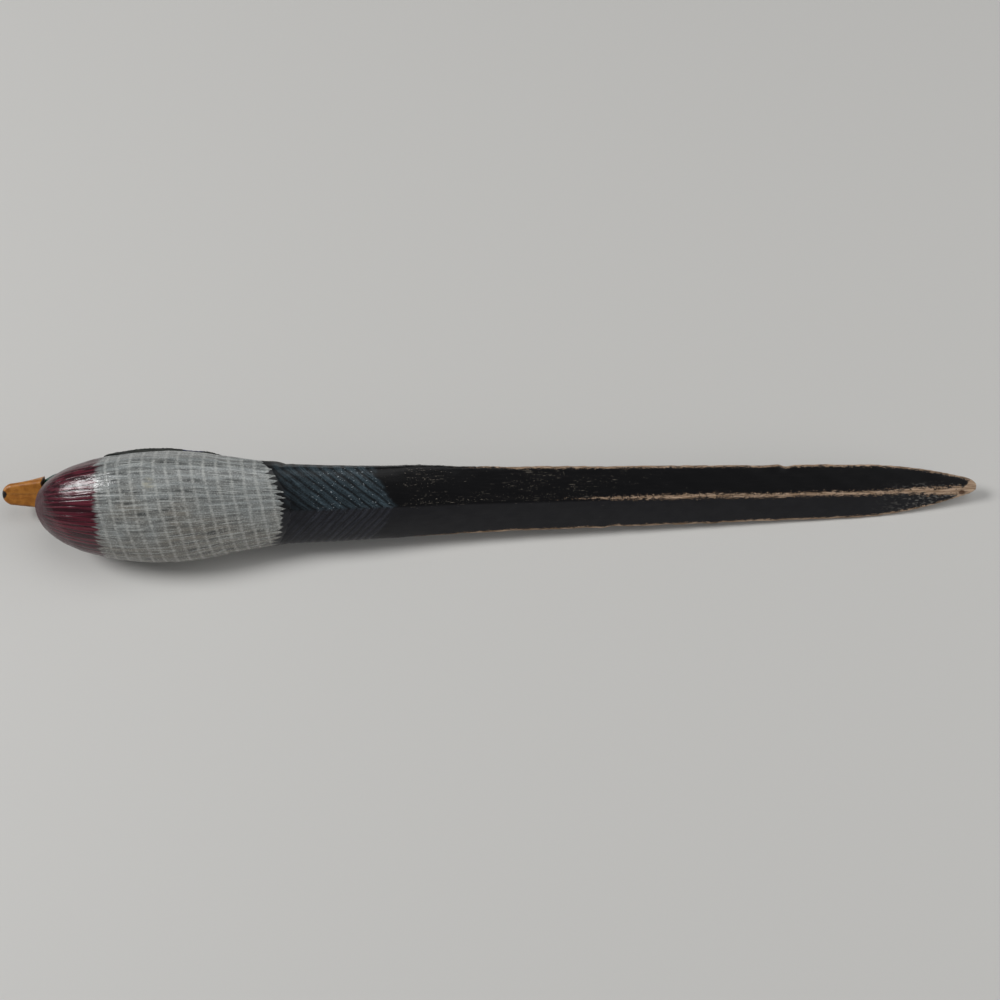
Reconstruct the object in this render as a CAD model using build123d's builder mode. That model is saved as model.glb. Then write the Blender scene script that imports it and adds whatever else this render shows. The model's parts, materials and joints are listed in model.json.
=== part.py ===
"""A carved and painted wooden drake whose tail runs out into the blade of a letter opener.

The bird lies on a desk as such a figure comes to rest: rolled on its side with its belly half
up, so that the side of its head, one wing and one edge of the blade near the point touch the
desk. Millimetres, Z up.
"""

import os

from math import cos, radians, sin

from build123d import *

# How the bird lies: rolled on its side from belly up, with the blade dipping to the desk,
# and where that leaves the joint of body and blade above the middle of its footprint
LYING_ROLL = 45.83
LYING_DIP = 2.9
JOINT_PLACE = (-53.756, -1.315, 13.489)

# Body, from the front of the breast to the joint with the blade
BODY_LENGTH = 69.2
BODY_HALF_WIDTH = 15.0
BELLY_DEPTH = 11.6
BACK_DEPTH = 12.0
FLANK_HEIGHT = 2.6
WIDEST_SHARE = 0.53
FULLEST_SHARE = 0.45
BREAST_FULLNESS = 2.2
BREAST_LIFT = 2.0
BODY_STATIONS = (0.02, 0.08, 0.18, 0.31, 0.45, 0.60, 0.75, 0.88)

# Where body and blade meet
ROOT_HALF_WIDTH = 11.0
ROOT_RIDGE = 6.2
ROOT_BACK = 0.5
ROOT_EDGE = 2.2

# Blade, from the joint to the tip: a swelling root, two flat facets and a point
BLADE_LENGTH = 188.8
SWELL_LENGTH = 60.0
SWELL_STATIONS = (0.0, 0.2, 0.4, 0.6, 0.8, 1.0)
FACET_HALF_WIDTH = 9.2
FACET_RIDGE = 3.6
FACET_EDGE = 1.2
FACET_ROUNDNESS = 0.1
POINT_LENGTH = 36.0
POINT_HALF_WIDTH = 7.8
POINT_RIDGE = 2.3
POINT_EDGE = 0.9
TIP_HALF_WIDTH = 2.7
TIP_LENGTH = 3.6
TIP_SIDE = 0.9
TRIM_MARGIN = 1.0

# Tang of the blade in its mortise in the body
TANG_LENGTH = 24.0
TANG_WIDTH = 9.0
TANG_THICKNESS = 3.6
TANG_RISE = 1.2
GLUE_GAP = 0.1

# Neck plug in its socket in the back, and the dowel through it
NECK_AT = -55.0
NECK_HALF_LENGTH = 5.6
NECK_HALF_WIDTH = 4.8
NECK_SEAT = 7.0
DOWEL_RADIUS = 2.0
DOWEL_HEAD_DEPTH = 9.0
DOWEL_BODY_DEPTH = 10.0
DOWEL_GAP = 0.05

# Head: an egg lying along the bird, a little lower in front
HEAD_REAR = -47.6
HEAD_LENGTH = 25.2
HEAD_RADIUS = 5.5
HEAD_RISE = 16.8
HEAD_DROOP = 5.5

# Bill, glued to a flat on the face by a round spigot
FACE_AT = -69.6
BILL_RISE = 13.7
BILL_LENGTH = 11.2
BILL_HALF_WIDTH = 4.15
BILL_TIP_HALF_WIDTH = 3.1
BILL_HALF_DEPTH = 2.5
BILL_THICKNESS = 2.2
BILL_BROW_LENGTH = 4.0
BILL_FLAT_LENGTH = 5.0
BILL_EDGE_RADIUS = 0.9
SPIGOT_RADIUS = 1.6
SPIGOT_LENGTH = 4.0

# Glass eyes: a domed bead on a short stem
EYE_AT = -63.5
EYE_RISE = 17.2
EYE_OUT = 3.8
EYE_RADIUS = 1.4
EYE_RIM = 0.7
EYE_DOME = 0.9
STEM_RADIUS = 0.6
STEM_LENGTH = 2.2

# Wings, glued to a flat planed on each side of the back, from shoulder to tip
WING_SHOULDER = (-42.0, 8.6, -7.2)
WING_TIP = (-5.0, 5.4, -1.7)
WING_TILT = 35.0
WING_PROUD = 1.3
WING_ROUND = 3.4
WING_HALF_WIDTH = 6.6
WING_SLANT = -4.5
WING_TIP_RADIUS = 1.2
WING_REACH = 9.0

roll = radians(LYING_ROLL)
dip = radians(LYING_DIP)
BIRD = Plane(
    JOINT_PLACE,
    x_dir=(cos(dip), 0, -sin(dip)),
    z_dir=(cos(roll) * sin(dip), -sin(roll), cos(roll) * cos(dip)),
)


def bird_point(x, y, z):
    """A point given along the bird, across it and towards its belly, where the bird lies."""
    return BIRD.from_local_coords(Vector(x, y, z))


def bird_way(x, y, z):
    """A direction given along the bird, across it and towards its belly, where the bird lies."""
    return BIRD.x_dir * x + BIRD.y_dir * y + BIRD.z_dir * z


def across(x, y=0.0, z=0.0):
    """The plane square to the bird's length: its own X is across, its own Y is to the belly."""
    return Plane(bird_point(x, y, z), x_dir=BIRD.y_dir, z_dir=BIRD.x_dir)


def upright():
    """The plane that halves the bird: its own X is along it, its own Y is up to its back."""
    return Plane(bird_point(0, 0, 0), x_dir=BIRD.x_dir, z_dir=BIRD.y_dir)


def above(rise, x=0.0):
    """The plane this far above the blade's back, centred at x along the bird."""
    return Plane(bird_point(x, 0, -rise), x_dir=BIRD.x_dir, z_dir=-BIRD.z_dir)


def between(first, last, share):
    """The value that lies this share of the way from first to last."""
    return first + (last - first) * share


def carved_section(plane, half_width, belly, back, edge, roundness):
    """A cross-section with upright edges, a belly from flat facets to round, and a round back."""
    depth = belly - edge

    def quarter(sign):
        near = (between(2 / 3, 1.0, roundness), between(1 / 3, 0.5523, roundness))
        far = (between(1 / 3, 0.5523, roundness), between(2 / 3, 1.0, roundness))
        ends = ((1.0, 0.0), near, far, (0.0, 1.0))
        return [(sign * half_width * out, edge + depth * up) for out, up in ends]

    with BuildSketch(plane) as outline:
        with BuildLine():
            Bezier(*quarter(1))
            Bezier(*reversed(quarter(-1)))
            Line((-half_width, edge), (-half_width, 0))
            if back > 0:
                Bezier(
                    (-half_width, 0),
                    (-half_width, -back * 4 / 3),
                    (half_width, -back * 4 / 3),
                    (half_width, 0),
                )
            else:
                Line((-half_width, 0), (half_width, 0))
            Line((half_width, 0), (half_width, edge))
        make_face()
    return outline.sketch


def swell(share, fullest_share, end):
    """How full the body is at a share of its length: a blunt breast, then a smooth taper."""
    if share < fullest_share:
        return (1 - (1 - share / fullest_share) ** BREAST_FULLNESS) ** (1 / BREAST_FULLNESS)
    run = (share - fullest_share) / (1 - fullest_share)
    return 1 - (1 - end) * run**2 * (3 - 2 * run)


def body_slices(proud):
    """The body's cross-sections from breast to joint, standing proud of its surface."""
    slices = [Vertex(*bird_point(-BODY_LENGTH - proud, 0, FLANK_HEIGHT / 2 - BREAST_LIFT))]
    for share in (*BODY_STATIONS, 1.0):
        width = swell(share, WIDEST_SHARE, ROOT_HALF_WIDTH / BODY_HALF_WIDTH)
        belly = swell(share, FULLEST_SHARE, ROOT_RIDGE / BELLY_DEPTH)
        back = swell(share, WIDEST_SHARE, ROOT_BACK / BACK_DEPTH)
        lift = BREAST_LIFT * max(1 - share / FULLEST_SHARE, 0) ** 1.5
        slices.append(
            carved_section(
                across(-BODY_LENGTH * (1 - share), z=-lift),
                BODY_HALF_WIDTH * width + proud,
                BELLY_DEPTH * belly + proud,
                BACK_DEPTH * back + proud,
                FLANK_HEIGHT * width,
                1.0,
            )
        )
    return slices


def blade_root_slices():
    """The blade's cross-sections where the body's round belly sinks to the flat facets."""
    slices = []
    for share in SWELL_STATIONS:
        fade = 1 - share**2 * (3 - 2 * share)
        slices.append(
            carved_section(
                across(SWELL_LENGTH * share),
                between(ROOT_HALF_WIDTH, FACET_HALF_WIDTH, share),
                between(FACET_RIDGE, ROOT_RIDGE, fade),
                0.0,
                between(FACET_EDGE, ROOT_EDGE, fade),
                between(FACET_ROUNDNESS, 1.0, fade),
            )
        )
    return slices


def blade_facet_slices():
    """The blade's cross-sections at both ends of its flat facets, the far one past the tip."""
    overrun = (BLADE_LENGTH - SWELL_LENGTH) / (BLADE_LENGTH - SWELL_LENGTH - POINT_LENGTH)
    return [
        carved_section(
            across(between(SWELL_LENGTH, BLADE_LENGTH, share)),
            between(FACET_HALF_WIDTH, POINT_HALF_WIDTH, share * overrun),
            between(FACET_RIDGE, POINT_RIDGE, share * overrun),
            0.0,
            between(FACET_EDGE, POINT_EDGE, share * overrun),
            FACET_ROUNDNESS,
        )
        for share in (0.0, 1.0)
    ]


def tang(gap):
    """The tang, or with a gap its mortise, as a block from the joint into the body."""
    with BuildSketch(across(0, z=TANG_RISE + TANG_THICKNESS / 2)) as end:
        Rectangle(TANG_WIDTH + 2 * gap, TANG_THICKNESS + 2 * gap)
    extrude(end.sketch, -(TANG_LENGTH + gap), mode=Mode.SUBTRACT if gap else Mode.ADD)


def dowel_hole(way, depth):
    """A bore for the neck dowel from the plug's end face, up the head or down the body."""
    with BuildSketch(above(NECK_SEAT, NECK_AT)) as end:
        Circle(DOWEL_RADIUS + DOWEL_GAP)
    extrude(end.sketch, way * (depth + GLUE_GAP), mode=Mode.SUBTRACT)


def eye_axes(side):
    """The plane through an eye's axis, with its own Y pointing out of the head."""
    return Plane(
        bird_point(EYE_AT, side * EYE_OUT, -EYE_RISE),
        x_dir=BIRD.x_dir,
        z_dir=BIRD.z_dir * side,
    )


def eye_shape(side, gap):
    """The domed eye on its stem, or with a gap its socket, turned about the eye's axis."""
    axes = eye_axes(side)
    radius = EYE_RADIUS + gap
    stem = STEM_RADIUS + gap
    top = EYE_RIM + EYE_DOME
    with BuildSketch(axes) as half:
        with BuildLine():
            Polyline(
                (0, top),
                (0, -STEM_LENGTH - gap),
                (stem, -STEM_LENGTH - gap),
                (stem, 0),
                (radius, 0),
                (radius, EYE_RIM),
            )
            Bezier((radius, EYE_RIM), (radius, EYE_RIM + EYE_DOME / 2), (radius / 2, top), (0, top))
        make_face()
    revolve(
        half.sketch,
        axis=Axis(axes.origin, axes.y_dir),
        mode=Mode.SUBTRACT if gap else Mode.ADD,
    )


def wing_seat(side):
    """The flat under a wing: its own X runs from shoulder to tip, its own Z faces out."""
    front = Vector(WING_SHOULDER[0], side * WING_SHOULDER[1], WING_SHOULDER[2])
    rear = Vector(WING_TIP[0], side * WING_TIP[1], WING_TIP[2])
    along = (rear - front).normalized()
    tilt = radians(WING_TILT)
    out = Vector(0, side * sin(tilt), -cos(tilt))
    out = (out - along * out.dot(along)).normalized()
    return Plane(
        bird_point(*front),
        x_dir=bird_way(*along),
        z_dir=bird_way(*out),
    )


def wing_block(side, gap, mode):
    """The wing's outline raised from its flat: two round shoulders drawn out to a small tip."""
    reach = Vector(*WING_TIP) - Vector(*WING_SHOULDER)
    outer = WING_HALF_WIDTH - WING_ROUND
    with BuildSketch(wing_seat(side)) as outline:
        with Locations((-WING_SLANT, side * outer), (WING_SLANT, -side * outer)):
            Circle(WING_ROUND + gap)
        with Locations((reach.length, 0)):
            Circle(WING_TIP_RADIUS + gap)
        make_hull()
    extrude(outline.sketch, WING_REACH, mode=mode)


def spigot(gap):
    """The bill's round spigot, or with a gap its bore in the face."""
    with BuildSketch(across(FACE_AT, z=-BILL_RISE)) as end:
        Circle(SPIGOT_RADIUS + gap)
    extrude(end.sketch, SPIGOT_LENGTH + gap, mode=Mode.SUBTRACT if gap else Mode.ADD)


belly = body_slices(0.0)
wing_skin = body_slices(WING_PROUD)
blade_root = blade_root_slices()
blade_facets = blade_facet_slices()

with BuildPart() as blade:
    loft(blade_root, ruled=True)
    loft(blade_facets, ruled=True)
    with BuildSketch(BIRD):
        with BuildLine():
            start = BLADE_LENGTH - POINT_LENGTH
            turn = BLADE_LENGTH - TIP_LENGTH
            clear = ROOT_HALF_WIDTH + TRIM_MARGIN
            apex = (BLADE_LENGTH, TIP_SIDE)
            for side in (1, -1):
                corner = (turn, TIP_SIDE + side * TIP_HALF_WIDTH)
                flank = TangentArc((start, side * POINT_HALF_WIDTH), corner, tangent=(1, 0))
                lead = flank @ 1 + (flank % 1) * (TIP_LENGTH / 2)
                blunt = (BLADE_LENGTH, TIP_SIDE + side * TIP_HALF_WIDTH / 2)
                Bezier(corner, lead, blunt, apex)
            Polyline(
                (start, -POINT_HALF_WIDTH),
                (start, -clear),
                (0, -clear),
                (0, clear),
                (start, clear),
                (start, POINT_HALF_WIDTH),
            )
        make_face()
    extrude(amount=ROOT_RIDGE + TRIM_MARGIN, mode=Mode.INTERSECT)
    tang(0.0)

with BuildPart() as body:
    loft(belly)
    tang(GLUE_GAP)
    with BuildSketch(above(NECK_SEAT, NECK_AT)):
        Ellipse(NECK_HALF_LENGTH + GLUE_GAP, NECK_HALF_WIDTH + GLUE_GAP)
    extrude(amount=BACK_DEPTH, mode=Mode.SUBTRACT)
    dowel_hole(-1, DOWEL_BODY_DEPTH)
    wing_block(1, GLUE_GAP, Mode.SUBTRACT)
    wing_block(-1, GLUE_GAP, Mode.SUBTRACT)

with BuildPart() as head:
    with BuildSketch(above(NECK_SEAT, NECK_AT)):
        Ellipse(NECK_HALF_LENGTH, NECK_HALF_WIDTH)
    extrude(amount=HEAD_RISE - HEAD_RADIUS / 2 - NECK_SEAT)
    droop = radians(HEAD_DROOP)
    egg = Plane(
        bird_point(HEAD_REAR, 0, -HEAD_RISE),
        x_dir=bird_way(-cos(droop), 0, sin(droop)),
        z_dir=BIRD.y_dir,
    )
    with BuildSketch(egg):
        with BuildLine():
            bulge = HEAD_RADIUS * 4 / 3
            Bezier((0, 0), (0, bulge), (HEAD_LENGTH, bulge), (HEAD_LENGTH, 0))
            Line((HEAD_LENGTH, 0), (0, 0))
        make_face()
    revolve(axis=Axis(egg.origin, egg.x_dir))
    split(bisect_by=across(FACE_AT), keep=Keep.TOP)
    dowel_hole(1, DOWEL_HEAD_DEPTH)
    spigot(GLUE_GAP)
    eye_shape(1, GLUE_GAP)
    eye_shape(-1, GLUE_GAP)

with BuildPart() as bill:
    with BuildSketch(above(BILL_RISE, FACE_AT)):
        with BuildLine():
            turn = BILL_TIP_HALF_WIDTH - BILL_LENGTH
            Polyline((turn, -BILL_TIP_HALF_WIDTH), (0, -BILL_HALF_WIDTH), (0, BILL_HALF_WIDTH))
            Line((0, BILL_HALF_WIDTH), (turn, BILL_TIP_HALF_WIDTH))
            ThreePointArc((turn, BILL_TIP_HALF_WIDTH), (-BILL_LENGTH, 0), (turn, -BILL_TIP_HALF_WIDTH))
        make_face()
    extrude(amount=BILL_HALF_DEPTH, both=True)
    with BuildSketch(upright()):
        with BuildLine():
            tip = FACE_AT - BILL_LENGTH
            low = BILL_RISE - BILL_HALF_DEPTH
            thin = low + BILL_THICKNESS
            top = BILL_RISE + BILL_HALF_DEPTH
            Bezier(
                (FACE_AT, top),
                (FACE_AT - BILL_BROW_LENGTH, thin),
                (tip + BILL_FLAT_LENGTH, thin),
                (tip, thin),
            )
            Polyline((tip, thin), (tip, low), (FACE_AT, low), (FACE_AT, top))
        make_face()
    extrude(amount=2 * BILL_HALF_WIDTH, both=True, mode=Mode.INTERSECT)
    seat = bill.faces().sort_by(Axis(bird_point(0, 0, 0), BIRD.x_dir))[-1]
    fillet([edge for edge in bill.edges() if edge not in seat.edges()], BILL_EDGE_RADIUS)
    spigot(0.0)

with BuildPart() as neck_dowel:
    with BuildSketch(above(NECK_SEAT - DOWEL_BODY_DEPTH, NECK_AT)):
        Circle(DOWEL_RADIUS)
    extrude(amount=DOWEL_BODY_DEPTH + DOWEL_HEAD_DEPTH)

with BuildPart() as left_eye:
    eye_shape(1, 0.0)

with BuildPart() as right_eye:
    eye_shape(-1, 0.0)

with BuildPart() as left_wing:
    loft(wing_skin)
    wing_block(1, 0.0, Mode.INTERSECT)

with BuildPart() as right_wing:
    loft(wing_skin)
    wing_block(-1, 0.0, Mode.INTERSECT)

os.makedirs("parts", exist_ok=True)
for name, piece in (
    ("body", body),
    ("blade", blade),
    ("head", head),
    ("bill", bill),
    ("neck_dowel", neck_dowel),
    ("left_eye", left_eye),
    ("right_eye", right_eye),
    ("left_wing", left_wing),
    ("right_wing", right_wing),
):
    piece.part.label = name
    export_step(piece.part, f"parts/{name}.step")
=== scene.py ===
import json
from math import cos, pi, radians, sin

import bpy
import numpy as np
from mathutils import Matrix, Vector


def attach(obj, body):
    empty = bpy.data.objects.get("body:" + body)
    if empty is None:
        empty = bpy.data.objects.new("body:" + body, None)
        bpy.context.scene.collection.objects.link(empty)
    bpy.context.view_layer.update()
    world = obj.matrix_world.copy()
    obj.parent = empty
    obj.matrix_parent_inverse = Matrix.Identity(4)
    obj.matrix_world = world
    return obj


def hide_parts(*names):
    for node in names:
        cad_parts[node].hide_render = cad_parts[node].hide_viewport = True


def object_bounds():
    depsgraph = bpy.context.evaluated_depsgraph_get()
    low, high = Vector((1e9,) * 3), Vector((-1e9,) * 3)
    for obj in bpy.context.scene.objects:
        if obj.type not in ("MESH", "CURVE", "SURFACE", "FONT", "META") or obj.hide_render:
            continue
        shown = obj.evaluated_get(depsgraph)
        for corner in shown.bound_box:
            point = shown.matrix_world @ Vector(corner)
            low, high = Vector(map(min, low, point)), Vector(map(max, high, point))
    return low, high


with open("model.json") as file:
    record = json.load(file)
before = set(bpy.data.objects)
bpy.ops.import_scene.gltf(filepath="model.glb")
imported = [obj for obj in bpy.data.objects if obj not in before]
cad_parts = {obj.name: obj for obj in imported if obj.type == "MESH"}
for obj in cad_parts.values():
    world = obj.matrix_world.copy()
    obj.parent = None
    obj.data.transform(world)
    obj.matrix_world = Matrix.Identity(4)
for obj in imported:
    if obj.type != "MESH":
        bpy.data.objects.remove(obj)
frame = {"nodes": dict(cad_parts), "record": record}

MM = 0.001
cad_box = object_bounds()

# The bird's own frame: along the blade, across to its left side, and out of its belly.
# Its origin is the joint of body and blade.
mounts = {mount["name"]: mount for mount in frame["record"]["mounts"]}
BLADE_BACK_FROM_JOINT = 110 * MM
ALONG = Vector(mounts["blade_entry"]["axis"]).normalized()
BELLY = -Vector(mounts["blade_back"]["axis"]).normalized()
ACROSS = BELLY.cross(ALONG)
JOINT = Vector(mounts["blade_back"]["pos_m"]) - ALONG * BLADE_BACK_FROM_JOINT
BIRD_AXES = Matrix((ALONG, ACROSS, BELLY)).transposed()

# Sizes of the solids that the carving follows, in the bird's frame: millimetres and degrees
ROOT_HALF_WIDTH = 11.0
SWELL_LENGTH = 60.0
FACET_HALF_WIDTH = 9.2
BLADE_LENGTH = 188.8
POINT_LENGTH = 36.0
POINT_HALF_WIDTH = 7.8
FACE_AT = -69.6
BILL_LENGTH = 11.2
BILL_RISE = 13.7
BILL_HALF_DEPTH = 2.5
EYE_AT = -63.5
EYE_RISE = 17.2
WING_SHOULDER = (-42.0, 8.6, -7.2)
WING_TIP = (-5.0, 5.4, -1.7)
WING_TILT = 35.0

# Skin of each carved piece: the size of its faces, and how many passes of sanding it gets
SKINS = {
    "body": (0.31, 8),
    "blade": (0.345, 3),
    "head": (0.2, 6),
    "bill": (0.16, 5),
    "left_wing": (0.2, 5),
    "right_wing": (0.2, 5),
}
WELD_REACH = 0.001 * MM

# How far body and blade run into each other, so that no seam shows at the joint, and where
# the blade comes out of the body on the ridge
BODY_RUN = 1.0
BLADE_RUN = 6.0
BLADE_OUT = -1.0

# The stretch that makes them run on, in places past the joint: from none to full on one side,
# and on the other. The stretched end sinks under the other's skin over a run.
STRETCH_RISE = (-14.0, -0.4)
STRETCH_FALL = (16.0, 0.6)
SINK_DEPTH = 0.3
SINK_RUN = 3.0

# The left flank by the tail and the left side of the blade's root are fuller than their solids
FLANK_FILL = 0.75
FLANK_FILL_AT = -11.0
ROOT_FILL = 0.35
ROOT_FILL_AT = -1.0
FILL_REACH = 12.0

# The body's back is thinned down to the blade from a place on, and ends a little inside it
THIN_START = -4.5
THIN_INSIDE = 0.25

# Where one colour of the body meets the next
BREAST_EDGE = -51.2
BLACK_EDGE = -2.9
BLACK_EDGE_BOW = 0.028

# Brushwork of the body: white lines across the belly and along it, dark streaks of the breast,
# and grey feather tips before the black. What runs along the body is spread round an axis, at a
# depth behind the plane of the blade's back, and strokes at one radius. A pale spot on the belly
# is a painted highlight.
CROSS_LINE_PITCH = 3.2
LONG_LINE_PITCH = 2.5
BELLY_AXIS_DEPTH = 4.0
BELLY_RADIUS = 15.0
STREAK_PITCH = 1.43
BREAST_AXIS_DEPTH = 8.0
BREAST_RADIUS = 17.0
FEATHER_TIP_WIDTH = 1.45
STROKE_RADIUS = 12.0
HIGHLIGHT_SPOT = (-37.0, 9.7)

# Barbs of the tail feathers, carved as chevrons across the root of the blade
LEFT_BARB_PITCH = 3.05
LEFT_BARB_SWEEP = 1.3
RIGHT_BARB_PITCH = 2.14
RIGHT_BARB_SWEEP = 0.95
BARB_DEPTH = 0.17
BARB_END = 27.6
BARB_END_SWEEP = 0.55

# Wear along the blade: where it starts and is full, how far it reaches to the side, the bare tip
# with its knot, and each dent of the edges as place, half length and depth
RIDGE_WEAR_START = 44.0
RIDGE_WEAR_FULL = 104.0
RIDGE_WEAR_REACH = 1.15
RIDGE_RUB_DEPTH = 0.1
RIDGE_RUB_REACH = 1.6
EDGE_WEAR_START = 24.0
EDGE_WEAR_FULL = 66.0
EDGE_WEAR_REACH = 0.65
BARE_TIP_START = 184.6
BARE_TIP_FULL = 185.6
KNOT_AT = (185.3, -0.6)
LEFT_DENTS = ((35.0, 10.0, -0.35), (132.6, 2.0, -0.12), (135.4, 2.3, 0.5))
RIGHT_DENTS = ((84.0, 3.0, -0.25), (88.0, 3.0, 0.15), (115.0, 3.0, -0.25), (118.6, 2.6, 0.15))

# The blade's tip, drawn out past the solid's, the band inside an edge that is carved uneven, and
# the stations at which the carved outline is measured, from a little before the joint
TIP_START = 182.0
TIP_END = 188.0
TIP_STRETCH = 0.7
EDGE_BAND = (2.4, 0.4)
OUTLINE_STATIONS = 400
OUTLINE_BEFORE = 2

# Feathers of a wing, from its shoulder: rows of coverts, then the bar, then the long quills
COVERT_LENGTH = 4.6
COVERT_WIDTH = 3.4
BAR_START = 10.0
BAR_END = 20.0
QUILL_WIDTH = 2.3
FAN_LENGTH = 30.0
FAN_NARROWING = 0.55
FEATHER_ROUNDING = 1.6
COVERT_RELIEF = 0.32
VANE_RELIEF = 0.24
BAR_RELIEF = 0.14
RELIEF_ROOM = 0.3

# A wing's rim is bent out of its solid or back toward it: place, half length and height of each
# bend. Its shoulder is let into the body and drawn forward, each from one place to another.
RIM_BENDS = ((-19.5, 7.0, 1.0), (-28.0, 5.0, -0.6))
SHOULDER_SINK = 1.15
SHOULDER_SINK_RUN = (-39.0, -52.0)
SHOULDER_DRAW = 1.3
SHOULDER_DRAW_RUN = (-44.0, -51.0)

# Carving of the head: the face drawn in toward the bill, a cheek and the hollow in front of it
# with middle and half size along the bird and up, and the rings round an eye as radius, half
# width and height
FACE_PINCH = 0.6
FACE_PINCH_START = -66.5
CHEEK_AT = (-59.5, 14.2)
CHEEK_SIZE = (5.0, 3.6)
HOLLOW_AT = (-67.0, 16.4)
HOLLOW_SIZE = (2.4, 1.6)
EYE_RINGS = ((2.0, 0.6, -0.22), (1.5, 0.4, 0.12))

# The bill's nostrils: how far ahead of the face, and off the middle
NOSTRIL_AHEAD = 3.4
NOSTRIL_OUT = 1.35

# Painted rims on the head: the white ring of the neck has a top and a front, the painted shade
# under the throat before it a top and a back, and an eye's pupil and iris each a radius
NECK_RING_TOP = -11.6
NECK_RING_FRONT = -61.5
THROAT_SHADE_TOP = -13.2
THROAT_SHADE_BACK = -62.0
PUPIL_RADIUS = 0.66
IRIS_RADIUS = 1.12


def display(red, green, blue):
    """A colour as it looks on a screen, 0 to 255, made linear."""
    shares = [value / 255 for value in (red, green, blue)]
    linear = [s / 12.92 if s <= 0.04045 else ((s + 0.055) / 1.055) ** 2.4 for s in shares]
    return (*linear, 1.0)


# Modelling

def take_in_hand(piece):
    """Deselects everything and makes one piece the only one selected."""
    bpy.ops.object.select_all(action="DESELECT")
    piece.select_set(True)
    bpy.context.view_layer.objects.active = piece


def blank_from(node):
    """A merged copy of a solid's mesh, as the blank that a piece is carved from."""
    piece = bpy.data.objects.new(f"carved_{node}", frame["nodes"][node].data.copy())
    bpy.context.scene.collection.objects.link(piece)
    piece.data.materials.clear()
    take_in_hand(piece)
    bpy.ops.object.mode_set(mode="EDIT")
    bpy.ops.mesh.select_all(action="SELECT")
    bpy.ops.mesh.remove_doubles(threshold=WELD_REACH)
    bpy.ops.object.mode_set(mode="OBJECT")
    return piece


def skin_evenly(piece, grain):
    """Gives a piece an even skin of small faces."""
    take_in_hand(piece)
    skin = piece.modifiers.new("even skin", "REMESH")
    skin.mode = "VOXEL"
    skin.voxel_size = grain * MM
    bpy.ops.object.modifier_apply(modifier=skin.name)


def true_up(piece, node):
    """Draws a piece's skin back onto its solid, so that its flat faces are flat again."""
    take_in_hand(piece)
    plane = piece.modifiers.new("plane", "SHRINKWRAP")
    plane.target = frame["nodes"][node]
    bpy.ops.object.modifier_apply(modifier=plane.name)


def sand(piece, passes):
    """Sands a piece's edges round."""
    take_in_hand(piece)
    paper = piece.modifiers.new("sanding", "SMOOTH")
    paper.factor = 0.5
    paper.iterations = passes
    bpy.ops.object.modifier_apply(modifier=paper.name)
    bpy.ops.object.shade_smooth()


def rough_out(node, trued=False):
    """A piece in the shape of its solid, with a skin that is ready to be carved."""
    grain, passes = SKINS[node]
    piece = blank_from(node)
    skin_evenly(piece, grain)
    if trued:
        true_up(piece, node)
    sand(piece, passes)
    return piece


def measure(piece):
    """Places and normals of a piece's vertices in the bird's frame, in millimetres."""
    count = len(piece.data.vertices)
    places = np.empty(count * 3)
    normals = np.empty(count * 3)
    piece.data.vertices.foreach_get("co", places)
    piece.data.vertices.foreach_get("normal", normals)
    axes = np.array(BIRD_AXES)
    places = (places.reshape(-1, 3) - np.array(JOINT)) @ axes / MM
    return places, normals.reshape(-1, 3) @ axes


def reshape(piece, places):
    """Moves a piece's vertices to places in the bird's frame, none of them below the desk."""
    placed = places * MM @ np.array(BIRD_AXES).T + np.array(JOINT)
    placed[:, 2] = np.maximum(placed[:, 2], cad_box[0].z)
    piece.data.vertices.foreach_set("co", placed.ravel())
    piece.data.update()


def raise_skin(piece, places, normals, height):
    """Raises a piece's skin, or cuts it where the height is below nothing."""
    reshape(piece, places + normals * height[:, None])


def mark(piece, name, values):
    """Writes a value per vertex, for a paint that follows the carving."""
    attribute = piece.data.attributes.new(name, "FLOAT", "POINT")
    attribute.data.foreach_set("value", values.astype(np.float32))


def ease(low, high, values):
    """0 at low, 1 at high, and a soft step between."""
    share = np.clip((values - low) / (high - low), 0.0, 1.0)
    return share * share * (3.0 - 2.0 * share)


def bump(values, place, width):
    """A round swelling, 1 at its place and gone a width away."""
    return np.clip(1.0 - ((values - place) / width) ** 2, 0.0, 1.0) ** 2


def wander(values, length, start):
    """A smooth uneven line between -1 and 1, with bends about a length apart."""
    turn = 2 * pi * values / length
    waves = np.sin(turn + start)
    waves += np.sin(1.73 * turn + 2.1 * start)
    waves += np.sin(0.61 * turn + 3.7 * start)
    return waves / 3


def barbs_at(x, y, z):
    """Height of the carved barbs, 0 in a groove and 1 on a barb, and how strongly they are cut."""
    bend = 0.35 * wander(y, 9.0, 0.4) + 0.25 * wander(x, 13.0, 1.9)
    sweep = np.where(y > 0, LEFT_BARB_SWEEP, RIGHT_BARB_SWEEP)
    pitch = np.where(y > 0, LEFT_BARB_PITCH, RIGHT_BARB_PITCH)
    swept = (x + bend + sweep * np.abs(y)) / pitch
    height = np.abs(np.sin(pi * swept)) ** 0.6
    begin = BLACK_EDGE - BLACK_EDGE_BOW * y**2
    end = BARB_END - BARB_END_SWEEP * np.abs(y) + 0.6 * wander(y, 3.1, 0.3)
    strength = ease(-0.5, 2.5, x - begin) * ease(-0.4, 1.4, end - x)
    strength = strength * ease(0.2, 1.4, z) * (0.8 + 0.2 * wander(swept, 3.0, 0.8))
    return height, strength


def cut_barbs(piece):
    """Cuts the barbs into a piece's skin, and marks them for its paint."""
    places, normals = measure(piece)
    height, strength = barbs_at(*places.T)
    raise_skin(piece, places, normals, -BARB_DEPTH * strength * (1.0 - height))
    mark(piece, "barb", height)
    mark(piece, "barbed", strength)


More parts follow.
